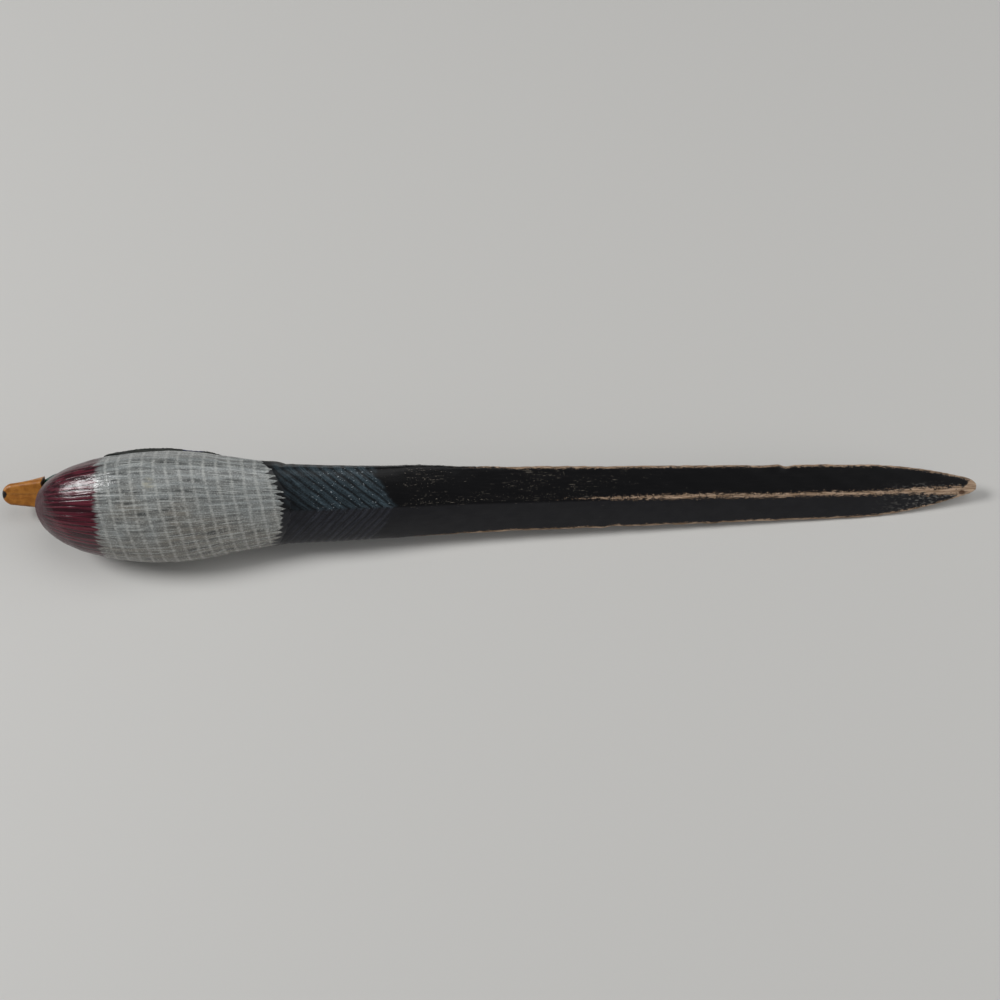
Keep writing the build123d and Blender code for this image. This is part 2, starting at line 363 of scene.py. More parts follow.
def half_width(x):
    """Half the width of the blade along its length, but for its point."""
    shoulder = BLADE_LENGTH - POINT_LENGTH
    root = (ROOT_HALF_WIDTH - FACET_HALF_WIDTH) * np.clip(1 - x / SWELL_LENGTH, 0, 1)
    run = np.clip((x - SWELL_LENGTH) / (shoulder - SWELL_LENGTH), 0, 1)
    return FACET_HALF_WIDTH + root + (POINT_HALF_WIDTH - FACET_HALF_WIDTH) * run


def carve_body():
    """The body: knife marks under the paint, and the first barbs at the tail."""
    body = rough_out("body")
    places, normals = measure(body)
    run_under(places, normals, 1, BODY_RUN)
    fill_flank(places)
    x, y, z = places.T
    turn = np.arctan2(y, z)
    knife = 0.06 * wander(x + 4 * turn, 9.0, 0.6) + 0.05 * wander(12 * turn - 0.4 * x, 11.0, 2.2)
    raise_skin(body, places, normals, knife * ease(4.0, 12.0, -x))
    cut_barbs(body)
    return body


def fill_flank(places):
    """Fills the upper left flank by the tail, and thins the back down to the blade."""
    x, y, z = places.T
    filled = FLANK_FILL * ease(3.0, -1.0, z) * ease(2.0, 7.0, y)
    places[:, 1] += filled * bump(x, FLANK_FILL_AT, FILL_REACH)
    thinned = z * ease(0.0, THIN_START, x) + THIN_INSIDE * ease(-0.5, BODY_RUN, x)
    places[:, 2] = np.where(z < 0, thinned, z)


def run_under(places, normals, way, run):
    """Stretches the end of body or blade past the joint, where it sinks under the other's skin."""
    past = places[:, 0] * way
    near = ease(*STRETCH_RISE, past) * ease(*STRETCH_FALL, past)
    places[:, 0] += way * run * near
    seam = BLADE_OUT - BLACK_EDGE_BOW * places[:, 1] ** 2
    sunk = SINK_DEPTH * near * ease(0.0, SINK_RUN, (places[:, 0] - seam) * way)
    places[:, 1:] -= sunk[:, None] * normals[:, 1:]


def carve_blade():
    """The blade: barbs at its root, uneven worn edges with a nick, and a rubbed ridge."""
    blade = rough_out("blade", trued=True)
    places, normals = measure(blade)
    run_under(places, normals, -1, BLADE_RUN)
    x, y, z = places.T
    left = y > 0
    places[:, 1] += ROOT_FILL * ease(6.0, 10.0, y) * bump(x, ROOT_FILL_AT, FILL_REACH)
    outward = 0.10 * wander(x, 23.0, 0.7)
    outward += 0.06 * wander(x + 9 * left, 7.0, 1.4)
    outward += 0.04 * wander(x, 2.9, 2.0 + left)
    for dents, edge in ((LEFT_DENTS, left), (RIGHT_DENTS, ~left)):
        for place, reach, depth in dents:
            outward -= edge * depth * bump(x, place, reach)
    near_edge = ease(*EDGE_BAND, half_width(x) - np.abs(y))
    near_edge *= ease(20.0, 32.0, x) * ease(TIP_END, TIP_START, x)
    places[:, 1] += np.sign(y) * outward * near_edge
    front = ease(0.4, 1.0, normals[:, 2])
    planed = 0.03 * wander(x + 2 * y, 17.0, 0.9) + 0.015 * wander(x - y, 6.0, 2.6)
    rub_and_highlight = -RIDGE_RUB_DEPTH * ease(70.0, 95.0, x) * bump(y, 0.0, RIDGE_RUB_REACH)
    rub_and_highlight *= 1.0 + 0.5 * wander(x, 8.0, 1.1)
    places[:, 2] += front * (planed * ease(20.0, 40.0, x) + rub_and_highlight)
    places[:, 0] += TIP_STRETCH * ease(TIP_START, BLADE_LENGTH, x)
    reshape(blade, places)
    cut_barbs(blade)
    places, _ = measure(blade)
    mark(blade, "from_edge", edge_distance(places))
    return blade


def edge_distance(places):
    """How far each place on the blade lies inside its outline, seen square to its back."""
    x, y, z = places.T
    last = OUTLINE_STATIONS - 1
    share = (x + OUTLINE_BEFORE) / (BLADE_LENGTH + OUTLINE_BEFORE)
    stations = np.clip((share * last).astype(int), 0, last)
    outline = np.zeros((OUTLINE_STATIONS, 2))
    np.maximum.at(outline[:, 0], stations, y)
    np.maximum.at(outline[:, 1], stations, -y)
    return np.minimum(outline[stations, 0] - y, outline[stations, 1] + y)


def wing_axes(side):
    """A wing's shoulder and its own axes: along to the tip, across it, and out of the body."""
    shoulder = np.array(WING_SHOULDER) * (1, side, 1)
    tip = np.array(WING_TIP) * (1, side, 1)
    along = (tip - shoulder) / np.linalg.norm(tip - shoulder)
    out = np.array((0.0, side * sin(radians(WING_TILT)), -cos(radians(WING_TILT))))
    out = out - along * out.dot(along)
    out = out / np.linalg.norm(out)
    return shoulder, along, side * np.cross(along, out), out


def shingle(u, v, length, width):
    """Rows of rounded feathers that overlap like shingles: 0 at a root, 1 at a rim."""

    def lie_in(row):
        """How far along its feather and how far from its quill each place lies, in a row."""
        shift = 0.5 * np.mod(row, 2)
        from_quill = np.mod(v / width + shift, 1.0) - 0.5
        return u / length - row + FEATHER_ROUNDING * from_quill**2, from_quill

    row = np.floor(u / length)
    for _ in range(2):
        reach, from_quill = lie_in(row)
        row = np.where(reach >= 1.0, row + 1, row)
    reach, from_quill = lie_in(row)
    return np.clip(reach, 0.0, 1.0), from_quill


def carve_wing(side, node):
    """A wing: rows of coverts at the shoulder, a bar of vanes, and long quills to the tip."""
    wing = rough_out(node)
    places, normals = measure(wing)
    shoulder, along, across, out = wing_axes(side)
    u = (places - shoulder) @ along
    v = (places - shoulder) @ across
    x = places[:, 0]
    rim = ease(1.0, 5.5, v)
    lift = np.zeros(len(x))
    for place, reach, height in RIM_BENDS:
        lift += height * rim * bump(x, place, reach)
    lift -= SHOULDER_SINK * ease(*SHOULDER_SINK_RUN, x)
    places += lift[:, None] * out
    places[:, 0] -= SHOULDER_DRAW * ease(*SHOULDER_DRAW_RUN, x)
    top = ease(0.15, 0.5, normals @ out)
    face = ease(0.8, 0.95, normals @ out)
    covert, covert_quill = shingle(u + 20 * COVERT_LENGTH, v, COVERT_LENGTH, COVERT_WIDTH)
    fan = v / (1.0 - FAN_NARROWING * np.clip((u - BAR_START) / FAN_LENGTH, 0, 1))
    vane = np.mod(fan / QUILL_WIDTH, 1.0)
    in_bar = ease(BAR_START - 0.4, BAR_START + 0.4, u)
    past_bar = ease(BAR_END - 0.3, BAR_END + 0.3, u)
    relief = in_bar * (VANE_RELIEF * vane + BAR_RELIEF * (1 - past_bar))
    relief += (1 - in_bar) * COVERT_RELIEF * covert
    raise_skin(wing, places, normals, top * (relief * face - RELIEF_ROOM))
    mark(wing, "along", u)
    mark(wing, "face", face)
    mark(wing, "rim", (1 - in_bar) * covert + in_bar * vane)
    mark(wing, "quill", (1 - in_bar) * np.abs(covert_quill) * 2 + in_bar * np.abs(vane - 0.5) * 2)
    return wing


def oval(along, up, middle, size):
    """1 in the middle of an oval, and 0 from its rim on."""
    return np.clip(1 - np.hypot((along - middle[0]) / size[0], (up - middle[1]) / size[1]), 0, 1)


def carve_head():
    """The head: full cheeks, a groove round each eye, and a hollow in front of the cheek."""
    head = rough_out("head")
    places, normals = measure(head)
    pinch = FACE_PINCH * ease(FACE_PINCH_START, FACE_AT, places[:, 0])
    places[:, 1] -= pinch * np.clip(places[:, 1], -1, 1)
    x, y, z = places.T
    from_eye = np.hypot(x - EYE_AT, -z - EYE_RISE)
    side = ease(0.4, 0.8, np.abs(normals[:, 1]))
    height = 0.35 * side * ease(0.0, 0.7, oval(x, -z, CHEEK_AT, CHEEK_SIZE))
    for radius, reach, rise in EYE_RINGS:
        height += rise * side * bump(from_eye, radius, reach)
    height -= 0.25 * side * ease(0.0, 0.8, oval(x, -z, HOLLOW_AT, HOLLOW_SIZE))
    crown = ease(0.5, 0.9, -normals[:, 2]) * ease(18.0, 21.0, -z)
    height -= 0.2 * crown * bump(y, 0.0, 3.0)
    height *= ease(FACE_AT + 0.2, FACE_AT + 1.4, x)
    raise_skin(head, places, normals, height)
    return head


def carve_bill():
    """The bill: a line along its mouth, nostrils on top, and a nail at its tip."""
    bill = rough_out("bill")
    places, normals = measure(bill)
    above = np.minimum(places[:, 2] + BILL_RISE, 0.0)
    places[:, 2] -= 0.16 * above * ease(FACE_AT - 3.5, FACE_AT, places[:, 0])
    x, y, z = places.T
    tip = FACE_AT - BILL_LENGTH
    mouth = BILL_RISE - BILL_HALF_DEPTH + 0.95 + 0.02 * (x - FACE_AT)
    outside = ease(FACE_AT + 0.2, FACE_AT - 0.5, x)
    on_side = ease(0.3, 0.7, 1 - np.abs(normals[:, 2]))
    height = -0.16 * bump(-z - mouth, 0.0, 0.34) * on_side * outside
    on_top = ease(0.2, 0.6, -normals[:, 2])
    nostril = np.hypot((x - FACE_AT + NOSTRIL_AHEAD) / 1.1, (np.abs(y) - NOSTRIL_OUT) / 0.45)
    height -= 0.3 * on_top * ease(1.0, 0.3, nostril)
    nail = np.hypot((x - tip - 1.0) / 1.5, y / 1.1)
    height += 0.14 * on_top * ease(1.0, 0.7, nail)
    below = ease(0.2, 0.6, normals[:, 2])
    height -= 0.12 * below * bump(y, 0.0, 0.7) * ease(tip + 1.0, tip + 3.5, x) * outside
    raise_skin(bill, places, normals, height)
    return bill


# Mixing paint

class Dial:
    """A value in a paint's nodes, so that sums of such values are written as sums."""

    def __init__(self, socket):
        self.socket = socket
        self.tree = socket.id_data

    def reckon(self, operation, *numbers):
        node = add(self.tree, "ShaderNodeMath", dict(enumerate(numbers)), operation=operation)
        return Dial(node.outputs[0])

    def __add__(self, other):
        return self.reckon("ADD", self, other)

    def __sub__(self, other):
        return self.reckon("SUBTRACT", self, other)

    def __rsub__(self, other):
        return self.reckon("SUBTRACT", other, self)

    def __mul__(self, other):
        return self.reckon("MULTIPLY", self, other)

    def __truediv__(self, other):
        return self.reckon("DIVIDE", self, other)

    def __rtruediv__(self, other):
        return self.reckon("DIVIDE", other, self)

    def __pow__(self, other):
        return self.reckon("POWER", self, other)

    def __abs__(self):
        return self.reckon("ABSOLUTE", self)

    def or_more(self, other):
        """The larger of two values."""
        return self.reckon("MAXIMUM", self, other)

    def turn(self, out):
        """The angle round the bird of a place this far across and so far out, in radians."""
        return self.reckon("ARCTAN2", self, out)

    def whole(self):
        """The whole number at or below the value."""
        return self.reckon("FLOOR", self)

    def rise(self, low, high):
        """A mask that rises softly from 0 at low to 1 at high."""
        inputs = {"Value": self, "From Min": low, "From Max": high}
        node = add(self.tree, "ShaderNodeMapRange", inputs, interpolation_type="SMOOTHSTEP")
        return Dial(node.outputs["Result"])

    def between(self, low, high):
        """The value spread from low at 0 to high at 1."""
        node = add(self.tree, "ShaderNodeMapRange", {"Value": self, "To Min": low, "To Max": high})
        return Dial(node.outputs["Result"])

    def stripes(self, pitch, core, rim):
        """Soft lines a pitch apart: solid within the core's reach and gone at the rim's."""
        share = self.reckon("FRACT", self / pitch)
        return 1.0 - (abs(share - 0.5) * pitch).rise(core, rim)


def add(tree, kind, inputs=None, **settings):
    """A new shader node with its settings, and its inputs set or joined to other nodes."""
    node = tree.nodes.new(kind)
    for name, value in settings.items():
        setattr(node, name, value)
    for name, value in (inputs or {}).items():
        feed(node.inputs[name], value)
    return node


def feed(socket, value):
    """Joins a socket to another node's output, or sets it to a plain value."""
    if isinstance(value, Dial):
        value = value.socket
    if isinstance(value, bpy.types.NodeSocket):
        socket.id_data.links.new(value, socket)
    else:
        socket.default_value = value


# How strongly paints mirror at their surface: plain ones, lacquer on the body, the dull blade
PLAIN_SHINE = 0.5
BODY_SHINE = 0.58
BLADE_SHINE = 0.27


class Paint:
    """A tree of shader nodes, with the few kinds of node that the paints are mixed from."""

    def __init__(self, tree):
        self.tree = tree

    def coat(self, under, over, share):
        """One colour over another, where a share lets it cover."""
        node = add(self.tree, "ShaderNodeMix", {0: share, 6: under, 7: over}, data_type="RGBA")
        return node.outputs[2]

    def mottle(self, place, scale, detail=2.0):
        """Soft noise about 0.5."""
        inputs = {"Vector": place, "Scale": scale, "Detail": detail}
        return Dial(add(self.tree, "ShaderNodeTexNoise", inputs).outputs["Fac"])

    def vector(self, **values):
        """A vector from its values by the names X, Y and Z."""
        return add(self.tree, "ShaderNodeCombineXYZ", values).outputs["Vector"]

    def vector_math(self, operation, inputs):
        """A vector reckoned from others."""
        return add(self.tree, "ShaderNodeVectorMath", inputs, operation=operation).outputs["Vector"]

    def stretch(self, place, along, across, up):
        """A place multiplied by three numbers: small ones draw a pattern out that way."""
        return self.vector_math("MULTIPLY", {0: place, 1: (along, across, up)})

    def parts(self, place):
        """The three values of a place."""
        node = add(self.tree, "ShaderNodeSeparateXYZ", {"Vector": place})
        return [Dial(node.outputs[axis]) for axis in "XYZ"]

    def marked(self, name):
        """A value that the carving wrote on the piece."""
        return Dial(add(self.tree, "ShaderNodeAttribute", attribute_name=name).outputs["Fac"])

    def chance(self, number):
        """A random value from 0 to 1 that belongs to a whole number."""
        node = add(self.tree, "ShaderNodeTexWhiteNoise", {"W": number}, noise_dimensions="1D")
        return Dial(node.outputs["Value"])

    def use(self, group, output, **inputs):
        """One output of a shader group, whose inputs are given by name."""
        return add(self.tree, "ShaderNodeGroup", inputs, node_tree=group).outputs[output]

    def bird_place(self):
        """The surface's place in the bird's frame, in millimetres."""
        inputs = {
            "Vector": add(self.tree, "ShaderNodeTexCoord").outputs["Object"],
            "Location": JOINT,
            "Rotation": BIRD_AXES.to_euler(),
            "Scale": (MM, MM, MM),
        }
        return add(self.tree, "ShaderNodeMapping", inputs, vector_type="TEXTURE").outputs["Vector"]

    def finish(self, colour, roughness, height, depth, shine=PLAIN_SHINE):
        """Joins colour, roughness and a relief of a depth in millimetres to the shader."""
        shader = self.tree.nodes["Principled BSDF"]
        shader.inputs["Specular IOR Level"].default_value = shine
        relief = add(self.tree, "ShaderNodeBump", {"Height": height, "Distance": depth * MM})
        feed(shader.inputs["Base Color"], colour)
        feed(shader.inputs["Roughness"], roughness)
        feed(shader.inputs["Normal"], relief.outputs["Normal"])


def new_paint(name):
    """A material, and the paint that is mixed in its nodes."""
    material = bpy.data.materials.new(name)
    material.use_nodes = True
    return material, Paint(material.node_tree)


VALUE = "NodeSocketFloat"
VECTOR = "NodeSocketVector"
COLOUR = "NodeSocketColor"


def new_group(name, inputs, outputs):
    """An empty shader group with named sockets, its paint, and the sockets at its two ends."""
    tree = bpy.data.node_groups.new(name, "ShaderNodeTree")
    for socket, kind in inputs.items():
        tree.interface.new_socket(socket, in_out="INPUT", socket_type=kind)
    for socket, kind in outputs.items():
        tree.interface.new_socket(socket, in_out="OUTPUT", socket_type=kind)
    given = add(tree, "NodeGroupInput").outputs
    return tree, Paint(tree), given, add(tree, "NodeGroupOutput").inputs


def make_strokes():
    """Brush strokes that run along the bird and lie side by side round it."""
    inputs = {"Place": VECTOR, "Length": VALUE, "Width": VALUE, "Shift": VALUE}
    tree, paint, given, out = new_group("brush strokes", inputs, {"Stroke": VALUE})
    x, y, z = paint.parts(given["Place"])
    ring = paint.vector_math("NORMALIZE", {0: paint.vector(Y=y, Z=z)})
    ring = paint.vector_math("SCALE", {0: ring, "Scale": STROKE_RADIUS / Dial(given["Width"])})
    along = paint.vector(X=x / given["Length"] + given["Shift"])
    feed(out["Stroke"], paint.mottle(paint.vector_math("ADD", {0: ring, 1: along}), 0.7, 1.5))
    return tree


def make_lacquer():
    """The small lumps of a brushed lacquer, which break up its shine."""
    tree, paint, given, out = new_group("lacquer", {"Place": VECTOR}, {"Height": VALUE})
    place = given["Place"]
    feed(out["Height"], paint.mottle(place, 2.6) * 0.6 + paint.mottle(place, 0.7, 1.0) * 0.8)
    return tree


def make_bare_wood():
    """Bare wood with its grain along the bird."""
    outputs = {"Colour": COLOUR, "Grain": VALUE}
    tree, paint, given, out = new_group("bare wood", {"Place": VECTOR}, outputs)
    place = given["Place"]
    grain = paint.mottle(paint.stretch(place, 0.12, 1.6, 1.6), 1.6, 3.0)
    dirt = paint.mottle(paint.stretch(place, 0.5, 1.0, 1.0), 0.9)
    wood = paint.coat(display(134, 110, 86), display(188, 162, 138), grain.rise(0.35, 0.65))
    feed(out["Colour"], paint.coat(wood, display(82, 64, 49), dirt.rise(0.5, 0.75) * 0.6))
    feed(out["Grain"], grain)
    return tree


def make_wear():
    """How far paint is rubbed off, from none to 1, within a reach of a worn line."""
    inputs = {"Place": VECTOR, "Distance": VALUE, "Reach": VALUE, "Amount": VALUE}
    tree, paint, given, out = new_group("wear", inputs, {"Bare": VALUE})
    place = given["Place"]
    ragged = paint.mottle(paint.stretch(place, 0.5, 1.6, 1.6), 1.5, 4.0) - 0.5
    specks = paint.mottle(paint.stretch(place, 0.8, 1.0, 1.0), 4.2) - 0.5
    bare = Dial(given["Amount"]) - Dial(given["Distance"]) / given["Reach"] + ragged * 2.2 + specks * 2.2
    feed(out["Bare"], bare.rise(-0.1, 0.8))
    return tree


def make_tail_black():
    """The black of the tail, with barbs that are slate-blue on the left and grey on the right."""
    inputs = {"Place": VECTOR, "Barb": VALUE, "Barbed": VALUE}
    tree, paint, given, out = new_group("tail black", inputs, {"Colour": COLOUR})
    place = given["Place"]
    barbed = Dial(given["Barbed"])
    x, y, z = paint.parts(place)
    patch = paint.mottle(place, 0.3, 3.0)
    swept = x + abs(y) * y.rise(-0.1, 0.1).between(RIGHT_BARB_SWEEP, LEFT_BARB_SWEEP)
    combed = paint.vector(X=swept * 2.6, Y=y * 0.3)
    fine = paint.mottle(combed, 1.0, 3.0) * 0.6 + paint.mottle(place, 2.6, 2.0) * 0.4
    blue = paint.coat(display(24, 29, 33), display(68, 83, 91), fine.rise(0.34, 0.62))
    grey = paint.coat(display(28, 28, 33), display(56, 58, 65), fine.rise(0.34, 0.62))
    tops = Dial(given["Barb"]).rise(0.3, 0.95).between(0.15, 1.0) * barbed
    tops = tops * (x + abs(y) * 0.6 + patch * 14.0).rise(2.0, 17.0)
    # The right side of the black is painted a lighter grey in patches: a painted sheen, standing in for
    # the reflection that this side catches
    painted_sheen = y.rise(0.3, -0.6) * patch.between(0.5, 1.0)
    black = paint.coat(display(11, 11, 13), display(36, 36, 39), painted_sheen)
    colour = paint.coat(black, paint.coat(grey, blue, y.rise(-0.7, 0.7)), tops)
    dots = paint.mottle(paint.stretch(place, 1.0, 1.4, 1.4), 1.7, 1.0).rise(0.69, 0.74)
    dots = dots * barbed * y.rise(-2.0, 2.0) * x.rise(3.0, 9.0)
    feed(out["Colour"], paint.coat(colour, display(180, 190, 196), dots * 0.85))
    return tree


def tail_colour(paint, groups, place):
    """The black of the tail on a piece with carved barbs."""
    barb = paint.marked("barb")
    barbed = paint.marked("barbed")
    return paint.use(groups["tail black"], "Colour", Place=place, Barb=barb, Barbed=barbed)


def mix_body_paint(groups):
    """Maroon breast, grey belly hatched with white, dark back, and the black of the tail."""
    material, paint = new_paint("body paint")
    place = paint.bird_place()
    x, y, z = paint.parts(place)

    def strokes(length, width, shift):
        group = groups["strokes"]
        return Dial(paint.use(group, "Stroke", Place=place, Length=length, Width=width, Shift=shift))

    # Belly: fine hairs in the cells between white lines that run across it and along it
    broad = paint.mottle(place, 0.09)
    bend = paint.mottle(place, 0.14, 1.0) - 0.5
    broken = strokes(1.5, 0.4, 23.0).rise(0.32, 0.66)
    across = (x + y * 0.17 + bend * 1.2).stripes(CROSS_LINE_PITCH, 0.0, 0.72)
    across = across * broken.between(0.3, 1.0)
    girth = y.turn(z + BELLY_AXIS_DEPTH) * BELLY_RADIUS
    along = (girth + bend * 2.5).stripes(LONG_LINE_PITCH, 0.1, 0.9)
    cell = (1.0 - across * 0.7) * (1.0 - along * 0.75)
    hairs = strokes(4.2, 0.36, 7.0)
    warm = (broad - y * 0.02).rise(0.3, 0.7)
    belly = paint.coat(display(140, 145, 145), display(133, 129, 121), warm)
    belly = paint.coat(belly, display(104, 105, 102), cell * 0.6)
    tufts = hairs.rise(0.47, 0.66) * cell * broad.rise(0.2, 0.6)
    belly = paint.coat(belly, display(66, 68, 68), tufts * 0.9)
    belly = paint.coat(belly, display(184, 188, 186), strokes(6.0, 0.22, 15.0).rise(0.52, 0.66) * 0.5)
    belly = paint.coat(belly, display(186, 187, 182), across * 0.5)
    speckle = paint.mottle(place, 2.4, 2.0)
    belly = paint.coat(belly, display(84, 84, 81), speckle.rise(0.52, 0.7) * 0.4)
    belly = paint.coat(belly, display(196, 197, 193), speckle.rise(0.46, 0.3) * 0.35)
    # A small pale spot on the upper left of the belly, broken by the strokes: a painted highlight
    from_spot = (x - HIGHLIGHT_SPOT[0]) ** 2.0 + (y - HIGHLIGHT_SPOT[1]) ** 2.0
    rub_and_highlight = 1.0 - (from_spot + (paint.mottle(place, 1.3) - 0.5) * 5.0).rise(0.0, 4.0)
    belly = paint.coat(belly, display(176, 172, 152), rub_and_highlight * broken * 0.5)

    # Back: grey-brown between the wings
    back = paint.coat(display(62, 55, 48), display(98, 89, 78), strokes(4.0, 0.6, 31.0).rise(0.42, 0.6))
    belly = paint.coat(belly, back, (z + hairs * 2.0).rise(-4.5, -6.5))

    # Breast: dark streaks that draw together toward the front
    girth = y.turn(z + BREAST_AXIS_DEPTH) * BREAST_RADIUS
    combed = (girth + (strokes(14.0, 1.0, 3.0) - 0.5) * 2.4).stripes(STREAK_PITCH, 0.16, 0.54)
    lighter = strokes(12.0, 0.4, 41.0).rise(0.45, 0.65)
    maroon = paint.coat(display(80, 25, 38), display(104, 42, 54), lighter)
    maroon = paint.coat(maroon, display(40, 13, 20), combed * x.rise(-69.0, -65.0) * 0.9)
    maroon = paint.coat(maroon, display(44, 18, 26), x.rise(-60.0, -68.0) * 0.6)
    feathered = x + (strokes(9.0, 0.5, 11.0) - 0.5) * 4.5
    past_breast = feathered.rise(BREAST_EDGE - 0.7, BREAST_EDGE + 0.7)
    fringe = strokes(4.0, 0.3, 51.0).rise(0.52, 0.64) * x.rise(BREAST_EDGE + 3.4, BREAST_EDGE + 0.4)
    belly = paint.coat(belly, display(58, 48, 50), fringe * 0.75)
    colour = paint.coat(maroon, belly, past_breast)

    # Tail: black behind a row of pointed grey feather tips
    row = y / FEATHER_TIP_WIDTH + bend * 1.5
    number = row.whole()
    tooth = abs(row - number - 0.5) * 2.0 - 0.5
    hairy = (strokes(2.6, 0.26, 61.0) - 0.5) * 1.8
    past_tips = x + y**2.0 * BLACK_EDGE_BOW + tooth * paint.chance(number).between(0.5, 3.3) + hairy
    past_tips = past_tips + z.rise(1.0, -2.0) * 9.0
    tail_share = past_tips.rise(BLACK_EDGE - 0.15, BLACK_EDGE + 0.15)
    colour = paint.coat(colour, tail_colour(paint, groups, place), tail_share)

    lumps = Dial(paint.use(groups["lacquer"], "Height", Place=place))
    height = (lumps + hairs * 0.8 - combed * 0.3) * tail_share.between(1.0, 0.2)
    roughness = lumps.between(0.06, 0.27).or_more(tail_share * 0.34)
    roughness = roughness.or_more(x.rise(-63.5, -68.5) * 0.45)
    paint.finish(colour, roughness, height, 0.09, BODY_SHINE)
    return material


def mix_blade_paint(groups):
    """Black with a faint grain, rubbed to bare wood on the ridge, the edges and the tip."""
    material, paint = new_paint("blade paint")
    place = paint.bird_place()
    x, y, z = paint.parts(place)
    colour = tail_colour(paint, groups, place)
    grain = paint.mottle(paint.stretch(place, 0.1, 1.4, 1.4), 1.4, 3.0)
    colour = paint.coat(colour, display(30, 28, 29), grain.rise(0.5, 0.75) * 0.3)

    # Pale scratches along the blade, most of them behind the barbs on the left
    scratch = paint.mottle(paint.stretch(place, 0.3, 5.0, 5.0), 1.2, 3.0)
    cluster = paint.mottle(paint.stretch(place, 0.1, 0.35, 0.35), 1.0)
    facing = y.rise(-3.0, 0.5).or_more(z.rise(0.6, 0.2) * 0.8)
    by_ridge = abs(y - 1.4).rise(1.8, 0.6) * x.rise(36.0, 50.0) * x.rise(98.0, 84.0)
    often = x.rise(18.0, 30.0) * x.rise(125.0, 75.0) * facing
    often = often * cluster.rise(0.3, 0.6).or_more(by_ridge)
    scratch = (scratch - often.between(0.76, 0.645)).rise(0.0, 0.07)
    dots = paint.mottle(paint.stretch(place, 1.7, 3.2, 3.2), 1.2, 2.0)
    dots = (dots - often.between(0.8, 0.66)).rise(0.0, 0.07)
    colour = paint.coat(colour, display(142, 135, 124), scratch.or_more(dots) * 0.75)

    # Chalky grey smears near the tip
    smear = paint.mottle(paint.stretch(place, 0.6, 1.2, 1.2), 1.4, 4.0).rise(0.5, 0.68)
    smear = smear * x.rise(158.0, 178.0) * y.rise(3.2, 0.6)
    colour = paint.coat(colour, display(116, 114, 109), smear * 0.8)

    # Bare wood
    def worn(distance, reach, amount):
        group = groups["wear"]
        return Dial(paint.use(group, "Bare", Place=place, Distance=distance, Reach=reach, Amount=amount))

    sway = paint.mottle(paint.stretch(place, 0.05, 0.0, 0.0), 1.0, 1.0) - 0.5
    patches = paint.mottle(place, 0.6, 3.0) * 3.2 - 1.2
    amount = x.rise(RIDGE_WEAR_START, RIDGE_WEAR_FULL).between(-0.75, 0.8)
    amount = amount + x.rise(166.0, 180.0) * patches
    ridge = (1.0 - x.rise(80.0, 150.0)) * 0.5 + sway * 0.8
    bare = worn(abs(y - ridge), RIDGE_WEAR_REACH, amount - z.rise(1.0, 0.3) * 3.0)
    # The right edge is rubbed bare sooner and further than the left: wear, and also a painted highlight
    # for the light that this edge catches
    right = y.rise(0.0, -2.0)
    amount = (x + right * 12.0).rise(EDGE_WEAR_START, EDGE_WEAR_FULL).between(-0.9, 0.75)
    amount = amount + right * 0.45
    bare = bare.or_more(worn(paint.marked("from_edge"), EDGE_WEAR_REACH, amount))
    ragged = (paint.mottle(place, 0.9, 3.0) - 0.5) * 3.0
    bare = bare.or_more((x - y * 0.8 + ragged * 0.8).rise(BARE_TIP_START, BARE_TIP_FULL))
    colour = paint.coat(colour, display(66, 54, 45), bare.rise(0.05, 0.45))
    wood = paint.use(groups["bare wood"], "Colour", Place=place)
    colour = paint.coat(colour, wood, bare.rise(0.4, 0.95))
    from_knot = ((x - KNOT_AT[0]) * 0.6) ** 2.0 + (y - KNOT_AT[1]) ** 2.0
    knot = 1.0 - (from_knot + ragged * 0.15).rise(0.15, 0.6)
    colour = paint.coat(colour, display(66, 40, 24), knot * 0.85)

    lumps = Dial(paint.use(groups["lacquer"], "Height", Place=place))
    paint.finish(colour, bare.between(0.34, 0.8), grain + lumps * 0.5 - bare, 0.025, BLADE_SHINE)
    return material


def mix_wing_paint(groups):
    """Grey-brown coverts with pale rims, a blue bar edged black and white, and dark quills."""
    material, paint = new_paint("wing paint")
    place = paint.bird_place()
    rim = paint.marked("rim")
    barbs = paint.mottle(paint.stretch(place, 1.2, 3.0, 3.0), 1.4)
    black = display(22, 21, 23)
    white = display(196, 194, 188)
    covert = paint.coat(display(58, 53, 49), display(88, 80, 73), barbs.rise(0.35, 0.65))
    covert = paint.coat(covert, display(146, 138, 126), rim.rise(0.78, 0.94) * 0.75)
    blue = paint.coat(display(26, 32, 80), display(48, 64, 132), barbs.rise(0.3, 0.7))
    dark = paint.coat(display(32, 31, 32), display(56, 52, 51), barbs.rise(0.35, 0.7))
    dark = paint.coat(dark, display(112, 104, 96), rim.rise(0.86, 0.98) * 0.6)
    along = paint.marked("along") + paint.mottle(place, 0.5, 3.0).between(-0.6, 0.6)
    bands = (
        (BAR_START - 1.6, white),
        (BAR_START, black),
        (BAR_START + 1.3, blue),
        (BAR_END - 2.8, black),
        (BAR_END - 1.5, white),
        (BAR_END, dark),
    )
    colour = covert
    for start, band in bands:
        colour = paint.coat(colour, band, along.rise(start, start + 0.3))
    colour = paint.coat(colour, display(30, 28, 28), paint.marked("quill").rise(0.16, 0.06) * 0.5)
    edge = paint.coat(display(34, 36, 34), display(56, 58, 54), barbs.rise(0.35, 0.65))
    colour = paint.coat(edge, colour, paint.marked("face"))
    lumps = Dial(paint.use(groups["lacquer"], "Height", Place=place))
    paint.finish(colour, lumps.between(0.3, 0.5), lumps + barbs, 0.07)
    return material


